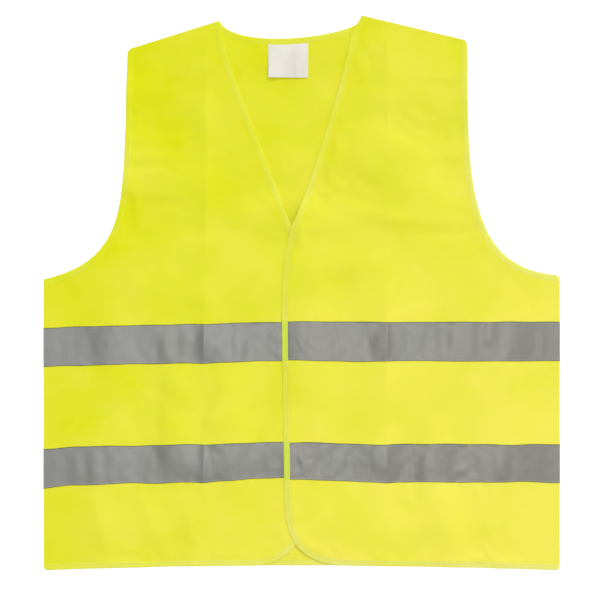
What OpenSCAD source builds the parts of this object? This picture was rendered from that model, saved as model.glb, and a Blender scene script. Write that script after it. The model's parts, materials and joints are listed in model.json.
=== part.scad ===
// High-visibility vest, closed and laid flat, face up.
// +X points to the wearer's left, +Y from hem to neck, +Z away from the surface it lies on.
// The origin is the middle of the outline, on that surface.

/* [Size] */
// Width across chest and hem, laid flat
vest_w = 652; // [580:1:720]
// Length from the higher neck point to the hem corners
vest_l = 701; // [620:1:760]
// Height of the hollow between the back and the fronts
torso_gap = 4.4; // [1:0.1:12]

/* [Cloth] */
// Thickness of a knitted panel
cloth_t = 0.6; // [0.4:0.1:1]
// Thickness of one ply of binding
binding_t = 0.3; // [0.2:0.1:0.5]
// Width of the binding on each face of the cloth
binding_w = 8; // [6:0.5:10]
// Width of the seam allowances between back and fronts
seam_w = 7; // [4:0.5:10]
// Radius of the turned corners at hem, armhole and shoulder
corner_r = 6; // [2:0.5:9]

/* [Reflective tape] */
// Width of the tape
tape_w = 50; // [40:1:60]
// Thickness of the tape
tape_t = 0.3; // [0.2:0.1:0.5]
// Height of the upper tape's middle line at the centre front
upper_tape_y = -61; // [-100:1:-45]
// Height of the lower tape's middle line at the centre front
lower_tape_y = -214; // [-270:1:-170]
// Drop of the wearer's right tapes from the centre front to the side seam
tape_drop = 8; // [0:1:15]

/* [Closure] */
// Width of a hook or loop patch
patch_w = 16; // [10:1:16]
// Length of a hook or loop patch
patch_l = 46; // [30:1:48]
// Thickness of a hook or loop patch
patch_t = 0.9; // [0.6:0.1:1.5]
// Nearest edge of the patches to the wearer's right
patch_x = -13; // [-13:1:-10]

/* [Care label] */
// Width of the label
label_w = 50; // [30:1:60]
// Length of the label
label_l = 41; // [25:1:60]
// Thickness of the label
label_t = 0.3; // [0.2:0.1:0.5]
// Middle of the label, across the vest
label_x = -17; // [-25:1:0]
// Upper edge of the label
label_top_y = 313; // [300:1:313]

/* [Fold lines of the fronts] */
// Where the left front's fold line meets the hem
left_fold_hem_x = 240; // [220:1:260]
// Where the right front's fold line meets the hem
right_fold_hem_x = -130; // [-140:1:-110]
// Slit between a front's fixed side and its opening flap
fold_slit = 1; // [0.6:0.1:2]
// Clearance between pieces that part when the vest opens
parting = 0.3; // [0.3:0.1:1]

/* [Hidden] */

cloth_colour = "#E6E53C";
binding_colour = "#E8EA6B";
tape_colour = "#9A9B96";
patch_colour = "#D6D84A";
label_colour = "#E6E3D8";

// The pattern is drafted on this block and graded to the chosen size.
block_w = 652;
block_l = 701;
grade = [vest_w / block_w, vest_l / block_l];
curve_steps = 24;
corner_steps = 4;
tape_margin = 1;
hem_rise = 6;
hem_step = 30;
shoulder_seam_start = 18;

half_w = vest_w / 2;
half_l = vest_l / 2;

// Heights of the layers, from the back, which lies lowest, to the left front, which laps over.
binding_stack = cloth_t + 2 * binding_t;
back_z = binding_t;
right_z = binding_stack + torso_gap + binding_t;
right_top = right_z + cloth_t;
hook_z = right_top + tape_t;
loop_z = hook_z + patch_t + parting;
left_z = loop_z + patch_t;
left_top = left_z + cloth_t;
label_z = back_z + cloth_t + parting;

// Corners of the pattern, graded.
left_hem = [half_w, -half_l];
right_hem = [-half_w, -half_l];
left_underarm = graded([326, 22.4]);
right_underarm = graded([-326, 17.4]);
left_shoulder = graded([209, 319]);
right_shoulder = graded([-220, 307.6]);
left_neck = graded([75.3, 350.5]);
right_neck = graded([-104, 343.7]);

function graded(p) = [p.x * grade.x, p.y * grade.y];
function unit(v) = v / norm(v);
function reversed(path) = [for (i = [len(path) - 1:-1:0]) path[i]];
function joined(paths) = [for (path = paths) each path];
function without_ends(path) = [for (i = [1:len(path) - 2]) path[i]];
function without_first(path) = [for (i = [1:len(path) - 1]) path[i]];

// A cubic curve through the first and last of four control points.
function curve(p, steps = curve_steps) =
    [for (i = [0:steps]) let (t = i / steps, s = 1 - t)
        pow(s, 3) * p[0] + 3 * s * s * t * p[1] + 3 * s * t * t * p[2] + pow(t, 3) * p[3]];
function graded_curve(p) = curve([for (q = p) graded(q)]);

// The turned corner at b, on the way from a to c.
function corner(a, b, c, r = corner_r) =
    let (p = b + r * unit(a - b), q = b + r * unit(c - b))
    [for (i = [0:corner_steps]) let (t = i / corner_steps, s = 1 - t)
        s * s * p + 2 * s * t * b + t * t * q];

// A path moved to its left by d. Outlines run counter-clockwise, so that is into the cloth.
function inset(path, d) =
    [for (i = [0:len(path) - 1])
        let (t = unit(path[min(i + 1, len(path) - 1)] - path[max(i - 1, 0)]))
        path[i] + d * [-t.y, t.x]];

// The hem bows up a little towards its middle.
function hem_y(x) = -half_l + hem_rise * (1 - pow(x / half_w, 2));
function hem(x0, x1) =
    let (steps = ceil(abs(x1 - x0) / hem_step))
    [for (i = [0:steps]) let (x = x0 + (x1 - x0) * i / steps) [x, hem_y(x)]];
function raised(path, d) = [for (p = path) [p.x, p.y + d]];

// Fold lines: each front turns back along a line from its neck point to the hem.
function along(a, b, y) = a.x + (b.x - a.x) * (y - a.y) / (b.y - a.y);
function left_fold(y) = along(left_neck, [left_fold_hem_x, -half_l], y);
function right_fold(y) = along(right_neck, [right_fold_hem_x, -half_l], y);
function left_flap_part(path) = [for (p = path) [min(p.x, left_fold(p.y) - fold_slit / 2), p.y]];
function left_side_part(path) = [for (p = path) [max(p.x, left_fold(p.y) + fold_slit / 2), p.y]];
function right_flap_part(path) = [for (p = path) [max(p.x, right_fold(p.y) + fold_slit / 2), p.y]];
function right_side_part(path) = [for (p = path) [min(p.x, right_fold(p.y) - fold_slit / 2), p.y]];

// Edges, counter-clockwise.
left_armhole = graded_curve([[326, 22.4], [207, 29], [209.3, 142], [209, 319]]);
right_armhole = graded_curve([[-220, 307.6], [-227, 119], [-211, 44], [-326, 17.4]]);
left_armhole_edge = joined([corner(left_hem, left_underarm, left_armhole[1]),
                            without_ends(left_armhole),
                            corner(left_armhole[curve_steps - 1], left_shoulder, left_neck)]);
right_armhole_edge = joined([corner(right_neck, right_shoulder, right_armhole[1]),
                             without_ends(right_armhole),
                             [right_underarm]]);
back_neck = graded_curve([[75.3, 350.5], [88.5, 326.7], [-84.4, 302.9], [-104, 343.7]]);

// The left front's edge, from its neck point down to the hem.
left_front_edge = joined([
    graded_curve([[75.3, 350.5], [73, 341], [64.5, 339], [61, 322]]),
    without_first(graded_curve([[61, 322], [52.5, 274], [4, 116], [-12.3, 86.7]])),
    without_first(graded_curve([[-12.3, 86.7], [-19.6, 75.7], [-25.3, 20.8], [-25.3, 0]])),
    graded_curve([[-22.5, -250], [-22.5, -295.5], [-17.5, -344.6], [62, -344.6]])]);

// The right front's edge, from the hem up to its neck point.
right_front_edge = joined([
    graded_curve([[-60, -344.6], [-17, -344.6], [12, -313], [12, -230]]),
    graded_curve([[12, 0], [12, 31.5], [-35.6, 139], [-57, 200]]),
    without_first(graded_curve([[-57, 200], [-63.6, 219], [-95, 287], [-104, 343.7]]))]);
left_edge_hem_x = left_front_edge[len(left_front_edge) - 1].x;
right_edge_hem_x = right_front_edge[0].x;
left_lap_x = -22.5 * grade.x;
right_lap_x = 12 * grade.x;

// A tape's middle line: level on the wearer's left, falling to the side seam on the right.
function tape_line(y, x) = y + tape_drop * min(x, 0) / half_w;
function back_tape_line(y, x) = y - tape_drop * (1 - x / half_w) / 2;

function band(edge, inner) = joined([edge, reversed(inner)]);

module slab(path, z, t) {
    translate([0, 0, z])
        linear_extrude(t)
            polygon(path);
}

module tape(path, z) {
    color(tape_colour) slab(path, z, tape_t);
}

// Binding folded over an edge: a band on both faces and across the edge, less the cloth inside.
module bound(edge, inner, cloth, z) {
    color(binding_colour)
        difference() {
            slab(band(edge, inner), z - binding_t, binding_stack);
            slab(cloth, z, cloth_t);
        }
}

// Cloth outlines, drawn in by one ply wherever binding goes round the edge.
back_cloth = joined([
    inset(joined([corner(right_underarm, right_hem, [0, -half_l]),
                  without_ends(hem(-half_w, half_w)),
                  corner([0, -half_l], left_hem, left_underarm)]), binding_t),
    inset(left_armhole_edge, binding_t),
    inset(back_neck, binding_t),
    inset(right_armhole_edge, binding_t)]);
left_side_hem = joined([without_ends(hem(left_fold(-half_l), half_w)),
                        corner([0, -half_l], left_hem, left_underarm)]);
right_side_hem = joined([corner(right_underarm, right_hem, [0, -half_l]),
                         without_ends(hem(-half_w, right_fold(-half_l)))]);
left_fold_hem = [left_fold(-half_l), hem_y(left_fold(-half_l))];
right_fold_hem = [right_fold(-half_l), hem_y(right_fold(-half_l))];
left_side_cloth = left_side_part(joined([
    inset(joined([[left_fold_hem], left_side_hem]), binding_t),
    inset(left_armhole_edge, binding_t),
    [left_neck]]));
right_side_cloth = right_side_part(joined([
    inset(joined([right_side_hem, [right_fold_hem]]), binding_t),
    [right_neck],
    inset(right_armhole_edge, binding_t)]));
left_flap_edge = left_flap_part(joined([left_front_edge,
                                        without_first(hem(left_edge_hem_x, left_fold_hem.x))]));
right_flap_edge = right_flap_part(joined([hem(right_fold_hem.x, right_edge_hem_x),
                                          without_first(right_front_edge)]));
left_flap_cloth = left_flap_part(inset(left_flap_edge, binding_t));
right_flap_cloth = right_flap_part(inset(right_flap_edge, binding_t));

module back_panel() {
    color(cloth_colour) slab(back_cloth, back_z, cloth_t);
}

module back_tape(y) {
    tape([[-half_w, back_tape_line(y, -half_w) - tape_w / 2],
          [half_w, back_tape_line(y, half_w) - tape_w / 2],
          [half_w, back_tape_line(y, half_w) + tape_w / 2],
          [-half_w, back_tape_line(y, -half_w) + tape_w / 2]], back_z - tape_t);
}

module back_upper_tape() {
    back_tape(upper_tape_y);
}

module back_lower_tape() {
    back_tape(lower_tape_y);
}

module back_neck_binding() {
    shoulder_slope = (left_neck.y - left_shoulder.y) / (left_shoulder.x - left_neck.x);
    inner = [for (p = inset(back_neck, binding_w))
        [p.x, min(p.y, left_neck.y - max(0, p.x - left_neck.x) * shoulder_slope)]];
    bound(back_neck, inner, back_cloth, back_z);
}

module back_hem_binding() {
    edge = joined([corner(right_underarm, right_hem, [0, -half_l]),
                   without_ends(hem(-half_w, half_w)),
                   corner([0, -half_l], left_hem, left_underarm)]);
    bound(edge, raised(hem(-half_w, half_w), binding_w), back_cloth, back_z);
}

module left_front_side() {
    color(cloth_colour) slab(left_side_cloth, left_z, cloth_t);
}

module left_front_flap() {
    color(cloth_colour) slab(left_flap_cloth, left_z, cloth_t);
}

module left_front_binding() {
    bound(left_flap_edge, left_flap_part(inset(left_flap_edge, binding_w)), left_flap_cloth, left_z);
}

module left_hem_binding_side() {
    edge = left_side_part(joined([[left_fold_hem], left_side_hem]));
    bound(edge, left_side_part(raised(hem(left_fold_hem.x, half_w), binding_w)),
          left_side_cloth, left_z);
}

// Tapes on the left front, either side of its fold line.
module left_tape_side(y) {
    low = y - tape_w / 2;
    high = y + tape_w / 2;
    tape([[left_fold(low) + fold_slit / 2, low], [half_w, low],
          [half_w, high], [left_fold(high) + fold_slit / 2, high]], left_top);
}

module left_tape_flap(y) {
    low = y - tape_w / 2;
    high = y + tape_w / 2;
    edge_x = left_lap_x + binding_w + tape_margin;
    tape([[edge_x, low], [left_fold(low) - fold_slit / 2, low],
          [left_fold(high) - fold_slit / 2, high], [edge_x, high]], left_top);
}

module left_upper_tape_side() {
    left_tape_side(upper_tape_y);
}

module left_upper_tape_flap() {
    left_tape_flap(upper_tape_y);
}

module left_lower_tape_side() {
    left_tape_side(lower_tape_y);
}

module left_lower_tape_flap() {
    left_tape_flap(lower_tape_y);
}

module right_front_side() {
    color(cloth_colour) slab(right_side_cloth, right_z, cloth_t);
}

module right_front_flap() {
    color(cloth_colour) slab(right_flap_cloth, right_z, cloth_t);
}

module right_front_binding() {
    bound(right_flap_edge, right_flap_part(inset(right_flap_edge, binding_w)),
          right_flap_cloth, right_z);
}

module right_hem_binding_side() {
    edge = right_side_part(joined([right_side_hem, [right_fold_hem]]));
    bound(edge, right_side_part(raised(hem(-half_w, right_fold_hem.x), binding_w)),
          right_side_cloth, right_z);
}

// Tapes on the right front, either side of its fold line.
module right_tape_side(y) {
    low = tape_line(y, right_fold(y)) - tape_w / 2;
    high = low + tape_w;
    outer = tape_line(y, -half_w) - tape_w / 2;
    tape([[-half_w, outer], [right_fold(low) - fold_slit / 2, low],
          [right_fold(high) - fold_slit / 2, high], [-half_w, outer + tape_w]], right_top);
}

module right_tape_flap(y) {
    low = tape_line(y, right_fold(y)) - tape_w / 2;
    high = low + tape_w;
    edge_x = right_lap_x - binding_w - tape_margin;
    inner = y - tape_w / 2;
    tape([[right_fold(low) + fold_slit / 2, low], [edge_x, inner],
          [edge_x, inner + tape_w], [right_fold(high) + fold_slit / 2, high]], right_top);
}

module right_upper_tape_side() {
    right_tape_side(upper_tape_y);
}

module right_upper_tape_flap() {
    right_tape_flap(upper_tape_y);
}

module right_lower_tape_side() {
    right_tape_side(lower_tape_y);
}

module right_lower_tape_flap() {
    right_tape_flap(lower_tape_y);
}

// One binding goes round each armhole, along the back's edge and along the front's.
module left_armhole_binding() {
    inner = inset(left_armhole, binding_w);
    bound(left_armhole_edge, inner, back_cloth, back_z);
    bound(left_armhole_edge, inner, left_side_cloth, left_z);
}

module right_armhole_binding() {
    inner = inset(right_armhole, binding_w);
    bound(right_armhole_edge, inner, back_cloth, back_z);
    bound(right_armhole_edge, inner, right_side_cloth, right_z);
}

// Overlocked seam allowances, which hold a front to the back.
module side_seam(outer_x, inner_x, underarm, z) {
    low = -half_l + hem_rise + binding_w;
    high = underarm.y - binding_w - corner_r;
    color(cloth_colour)
        slab([[outer_x, low], [inner_x, low], [inner_x, high], [outer_x, high]],
             back_z + cloth_t, z - back_z - cloth_t);
}

module left_side_seam() {
    side_seam(half_w, half_w - seam_w, left_underarm, left_z);
}

module right_side_seam() {
    side_seam(-half_w, -half_w + seam_w, right_underarm, right_z);
}

module shoulder_seam(outer, inner, z) {
    dir = unit(inner - outer);
    low = outer + dir * shoulder_seam_start;
    high = inner - dir * shoulder_seam_start;
    in = [0, -seam_w];
    color(cloth_colour)
        slab([low, high, high + in, low + in], back_z + cloth_t, z - back_z - cloth_t);
}

module left_shoulder_seam() {
    shoulder_seam(left_shoulder, left_neck, left_z);
}

module right_shoulder_seam() {
    shoulder_seam(right_shoulder, right_neck, right_z);
}

// Hook patches lie on the right front's tapes, loop patches under the left front.
module patch(y, z) {
    color(patch_colour)
        translate([patch_x, y - patch_l / 2, z])
            cube([patch_w, patch_l, patch_t]);
}

module upper_hook_patch() {
    patch(upper_tape_y, hook_z);
}

module lower_hook_patch() {
    patch(lower_tape_y, hook_z);
}

module upper_loop_patch() {
    patch(upper_tape_y, loop_z);
}

module lower_loop_patch() {
    patch(lower_tape_y, loop_z);
}

module care_label() {
    color(label_colour)
        translate([label_x - label_w / 2, label_top_y - label_l, label_z])
            cube([label_w, label_l, label_t]);
}

back_panel();
back_upper_tape();
back_lower_tape();
back_neck_binding();
back_hem_binding();
left_front_side();
left_front_flap();
left_front_binding();
left_hem_binding_side();
left_upper_tape_side();
left_upper_tape_flap();
left_lower_tape_side();
left_lower_tape_flap();
right_front_side();
right_front_flap();
right_front_binding();
right_hem_binding_side();
right_upper_tape_side();
right_upper_tape_flap();
right_lower_tape_side();
right_lower_tape_flap();
left_armhole_binding();
right_armhole_binding();
left_side_seam();
right_side_seam();
left_shoulder_seam();
right_shoulder_seam();
upper_hook_patch();
lower_hook_patch();
upper_loop_patch();
lower_loop_patch();
care_label();
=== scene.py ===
"""A high-visibility vest, closed and laid flat: panels, bindings, tapes, stitching, closure and label."""

import json
import math

import bmesh
import bpy
import numpy as np
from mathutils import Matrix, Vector
from mathutils.geometry import delaunay_2d_cdt


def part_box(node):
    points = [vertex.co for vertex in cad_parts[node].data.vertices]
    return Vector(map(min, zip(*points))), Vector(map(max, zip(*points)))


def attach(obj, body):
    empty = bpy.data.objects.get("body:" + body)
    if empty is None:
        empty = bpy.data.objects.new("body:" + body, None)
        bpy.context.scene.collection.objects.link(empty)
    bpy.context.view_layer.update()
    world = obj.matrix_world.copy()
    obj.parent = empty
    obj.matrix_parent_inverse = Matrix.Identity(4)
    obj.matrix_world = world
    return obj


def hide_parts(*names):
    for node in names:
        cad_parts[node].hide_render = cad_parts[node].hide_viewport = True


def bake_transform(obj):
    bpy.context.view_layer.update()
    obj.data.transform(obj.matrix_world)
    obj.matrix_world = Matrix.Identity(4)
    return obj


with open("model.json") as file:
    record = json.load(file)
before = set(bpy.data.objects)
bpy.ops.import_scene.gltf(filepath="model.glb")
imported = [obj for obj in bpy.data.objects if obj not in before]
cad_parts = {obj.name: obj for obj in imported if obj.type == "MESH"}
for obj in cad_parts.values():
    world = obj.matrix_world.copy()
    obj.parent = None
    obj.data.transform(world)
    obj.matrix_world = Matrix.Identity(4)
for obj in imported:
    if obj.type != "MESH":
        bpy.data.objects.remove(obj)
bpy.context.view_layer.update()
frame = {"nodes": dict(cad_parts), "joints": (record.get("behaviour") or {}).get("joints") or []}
NODES = frame["nodes"]
JOINTS = {j["name"]: j for j in frame["joints"]}

MM = 0.001
ROOT = "back_and_sides"
HALF_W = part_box("back_panel")[1].x
HEM_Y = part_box("back_panel")[0].y
HALF_L = -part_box("back_hem_binding")[0].y

# Known fault: this is the height of the back tape's box, which its slant makes 58 mm. The tape is 50 mm wide.
# The tapes' flat sizes use it and so are 8 mm too wide, and relief near the tapes' edges is stretched by it.
TAPE_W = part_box("back_upper_tape")[1].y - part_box("back_upper_tape")[0].y

# Thickness of the cloths
PANEL_T = 0.40 * MM
TAPE_T = 0.25 * MM
LABEL_T = 0.18 * MM

# The tape above the cloth's middle: what it adds to the outer face, and its own face
TAPE_COVER = TAPE_T + 0.10 * MM
TAPE_TOP = PANEL_T / 2 + TAPE_COVER

# Bindings: width over the edge, and height of the outer face where the stitches lie
BINDING_W = 7.6 * MM
BINDING_TOP = 0.52 * MM

# Stitches: their row's distance from the edge of a tape or binding, pitch, length and thread
TAPE_ROW = 2.1 * MM
BINDING_ROW = 5.6 * MM
STITCH_PITCH = 3.2 * MM
STITCH_L = 2.5 * MM
THREAD_R = 0.24 * MM

# Where the panels meet at the side and shoulder seams: height, and the gap for the allowances
SEAM_JOIN_Z = 2.6 * MM
SEAM_GAP = 0.95 * MM

# How far to each side of the CAD's fold line the fronts and their strips get closer mesh points, and within
# which a piece counts as crossing the fold
FOLD_REACH = 5.0 * MM
NEAR_FOLD = FOLD_REACH + 2.2 * MM

# How far the fronts sink at the hem
HEM_DROP = 3.3 * MM

# Spacing of mesh points in the panels and along their edges
GRID = 3.7 * MM
EDGE_STEP = 3.0 * MM

# The closure's middle and half width
CLOSURE_X = sum(v.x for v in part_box("upper_hook_patch")) / 2
CLOSURE_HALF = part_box("upper_hook_patch")[1].x - CLOSURE_X + 1 * MM


# ---------------------------------------------------------------- outlines from the CAD nodes


def smooth(t):
    """0 to 1 with flat ends."""
    t = np.clip(t, 0, 1)
    return t * t * (3 - 2 * t)


def top_loop(node):
    """The outline of a flat CAD node's upper face, counter-clockwise, as an array of x, y."""
    mesh = NODES[node].data
    co = np.array([v.co for v in mesh.vertices])
    top = co[:, 2] > co[:, 2].max() - 1e-6
    keys = {}
    ids = [keys.setdefault((round(x * 1e5), round(y * 1e5)), len(keys)) for x, y, _ in co]
    points = {ids[i]: co[i, :2] for i in range(len(co))}
    edges = set()
    for polygon in mesh.polygons:
        corners = list(polygon.vertices)
        if all(top[c] for c in corners):
            ring = [ids[c] for c in corners]
            edges.update(zip(ring, ring[1:] + ring[:1]))
    after = {a: b for a, b in edges if (b, a) not in edges and a != b}
    start = next(iter(after))
    loop, here = [start], after[start]
    while here != start:
        loop.append(here)
        here = after[here]
    return np.array([points[i] for i in loop])


class Fold:
    """The line that a front folds back along, from the CAD joint."""

    def __init__(self, joint):
        self.at = np.array(JOINTS[joint]["pos_m"][:2])
        axis = np.array(JOINTS[joint]["axis"][:2])
        self.along = axis / np.linalg.norm(axis)
        self.across = np.array([-self.along[1], self.along[0]])  # towards the flap
        self.z = JOINTS[joint]["pos_m"][2]

    def distance(self, xy):
        """How far points are past the fold, towards the opening."""
        return (np.asarray(xy) - self.at) @ self.across

    def onto(self, point):
        """The nearest place on the fold line."""
        return point - self.distance(point) * self.across


def joined_outline(side, flap, fold):
    """One outline from a front's fixed side and its flap, with the slit between them closed."""
    slit = 0.9 * MM

    def off_fold(node):
        loop = top_loop(node)
        near = np.abs(fold.distance(loop)) < slit
        first = next(i for i in range(len(loop)) if near[i - 1] and not near[i])
        loop, near = np.roll(loop, -first, 0), np.roll(near, -first)
        return loop[~near], loop[-1], loop[int(np.argmax(near))]

    side_points, before, after = off_fold(side)
    flap_points = off_fold(flap)[0]
    return np.vstack([[fold.onto(before)], side_points, [fold.onto(after)], flap_points])


def is_seam(a, b):
    """Whether an outline's segment is sewn to another panel: a side or a shoulder."""
    side = min(abs(a[0]), abs(b[0])) > 0.985 * HALF_W and abs(a[1] - b[1]) > 0.1
    shoulder = min(a[1], b[1]) > 0.8 * HALF_L and np.linalg.norm(b - a) > 0.06
    return side or shoulder


def split_at_seams(outline):
    """The outline's bound edges, as open chains, and its seams, as pairs of points."""
    n = len(outline)
    cuts = [i for i in range(n) if is_seam(outline[i], outline[(i + 1) % n])]
    seams = [(outline[i], outline[(i + 1) % n]) for i in cuts]
    chains = []
    for i, j in zip(cuts, cuts[1:] + [cuts[0] + n]):
        chains.append(np.array([outline[k % n] for k in range(i + 1, j + 1)]))
    return chains, seams


def resampled(points, step):
    """A smooth curve through the points, with an even step."""
    points = np.asarray(points, float)
    chord = np.linalg.norm(np.diff(points, axis=0), axis=1)
    points = points[np.concatenate([[True], chord > 1e-5])]
    chord = np.linalg.norm(np.diff(points, axis=0), axis=1)
    at = np.concatenate([[0], np.cumsum(chord)])
    slope = np.gradient(points, at, axis=0)
    n = max(2, int(math.ceil(at[-1] / step)) + 1)
    s = np.linspace(0, at[-1], n)
    i = np.clip(np.searchsorted(at, s, side="right") - 1, 0, len(at) - 2)
    h = (at[i + 1] - at[i])[:, None]
    t = (s - at[i])[:, None] / h
    return (
        (2 * t**3 - 3 * t**2 + 1) * points[i]
        + (t**3 - 2 * t**2 + t) * h * slope[i]
        + (3 * t**2 - 2 * t**3) * points[i + 1]
        + (t**3 - t**2) * h * slope[i + 1]
    )


def subdivided(loop, step):
    """A closed outline with no side longer than the step."""
    out = []
    for a, b in zip(loop, np.roll(loop, -1, 0)):
        n = max(1, int(math.ceil(np.linalg.norm(b - a) / step)))
        out.extend(a + (b - a) * k / n for k in range(n))
    return np.array(out)


def leftward(path):
    """Unit normals to the left of a path."""
    t = np.gradient(path, axis=0)
    t /= np.linalg.norm(t, axis=1)[:, None]
    return np.stack([-t[:, 1], t[:, 0]], 1)


def extended(chain, seam_start, seam_end):
    """A bound edge carried on straight to the seams at its ends, and the radius turned there."""

    def one_end(points, seam):
        end = points[-1]
        kept = points[: max(2, 1 + np.max(np.nonzero(np.linalg.norm(points - end, axis=1) > 8 * MM)))]
        here, step = kept[-1], kept[-1] - kept[-2]
        seam_dir = seam[1] - seam[0]
        t = np.linalg.solve(np.array([step, -seam_dir]).T, seam[0] - here)[0]
        meet = here + t * step
        if np.linalg.norm(meet - here) > 1e-5:
            kept = np.vstack([kept, meet])
        return kept, float(np.linalg.norm(meet - end))

    chain, r_end = one_end(chain, seam_end)
    chain, r_start = one_end(chain[::-1], seam_start)
    return chain[::-1], r_start, r_end


# ---------------------------------------------------------------- relief of the cloth


class Waves:
    """A sum of plane waves with random headings, between two wavelengths: the same each run."""

    def __init__(self, seed, shortest, longest, count=14, stretch=(1.0, 1.0)):
        rng = np.random.default_rng(seed)
        heading = rng.uniform(0, 2 * math.pi, count)
        length = np.exp(rng.uniform(math.log(shortest), math.log(longest), count))
        self.k = 2 * math.pi / length[:, None] * np.stack([np.cos(heading), np.sin(heading)], 1)
        self.k = self.k * np.array(stretch)
        self.phase = rng.uniform(0, 2 * math.pi, count)
        self.size = 1 / math.sqrt(count / 2)

    def __call__(self, xy):
        return self.size * np.sin(xy @ self.k.T + self.phase).sum(1)


def segment_distance(xy, a, b):
    """Distance from points to a segment."""
    d = b - a
    t = np.clip(((xy - a) @ d) / (d @ d), 0, 1)
    return np.linalg.norm(xy - a - t[:, None] * d, axis=1)


def path_distance(xy, path):
    """Distance from points to a path."""
    out = np.full(len(xy), 1e9)
    for a, b in zip(path[:-1], path[1:]):
        out = np.minimum(out, segment_distance(xy, a, b))
    return out


# Fold lines left by packing: (axis, place, height, reach).
# Axis 0 is a line along Y, and a height below 0 is a valley.
RIGHT_CREASE_X = -123 * MM
LEFT_CREASE_X = 108 * MM
CREASES = [
    (0, RIGHT_CREASE_X, 2.8 * MM, 14 * MM),
    (0, LEFT_CREASE_X, 1.9 * MM, 9 * MM),
    (1, 77 * MM, -3.3 * MM, 19 * MM),
    (1, 160 * MM, -0.9 * MM, 12 * MM),
    (1, 262 * MM, -1.4 * MM, 16 * MM),
    (1, -146 * MM, -0.8 * MM, 14 * MM),
]
CREASE_DRIFT = Waves(5, 0.25, 0.6, 6)
CREASE_FADE = Waves(6, 0.12, 0.4, 8)
CREASE_SWAY = 1.2 * MM
CREASE_ROUND = 0.6 * MM

# Soft folds, in mm: where each starts and ends, its half width and its height
FOLDS = [
    ((-222, 226), (-108, 274), 30, -3.0),
    ((-224, 196), (-150, 190), 14, 1.0),
    ((-224, 158), (-172, 161), 9, -1.3),
    ((-226, 120), (-160, 112), 11, -1.5),
    ((62, 226), (214, 196), 34, -3.0),
    ((30, 118), (120, 92), 16, 1.6),
    ((112, 92), (222, 88), 14, 1.1),
    ((-205, 14), (-120, -6), 26, 1.4),
    ((-150, -150), (-196, -118), 24, -1.8),
    ((-118, -160), (-92, -120), 14, 1.4),
    ((-200, -262), (-172, -330), 18, 1.2),
    ((-150, -262), (-134, -316), 15, 1.1),
    ((-262, -262), (-244, -330), 20, 1.1),
    ((66, -262), (44, -320), 20, 1.1),
    ((170, -262), (192, -330), 22, 1.1),
    ((232, -60), (262, 40), 16, 1.2),
]

# Slack: level folds across the chest, upright ones below the armholes, and short ones in the tapes
CHEST_SLACK = Waves(71, 0.050, 0.110, 14, stretch=(0.40, 1.0))
WAIST_SLACK = Waves(72, 0.055, 0.120, 14, stretch=(1.0, 0.35))
TAPE_SLACK = Waves(73, 0.022, 0.070, 18, stretch=(1.0, 0.30))
SLANTED = Waves(74, 0.028, 0.050, 9, stretch=(1.0, 0.8))
PATCHINESS = Waves(75, 0.15, 0.35, 8)
SLACK_LIMIT = 3.2 * MM
FRONT_TAPE_MIDDLES = []

# Heights of the cloth's broad and small unevenness, and of the puckers at its stitching
BROAD_H = 0.45 * MM
SMALL_H = 0.18 * MM
PUCKER_H = 0.14 * MM

# The back lies flatter than the fronts, and never lower than this above the floor
BACK_SHARE = 0.6
BACK_LEAST_Z = 0.55 * MM

# How far from a seam the layers start to rise to it: at a side, at a shoulder, and in the back
SIDE_RISE = 85 * MM
SHOULDER_RISE = 60 * MM
BACK_RISE = 22 * MM


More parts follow.
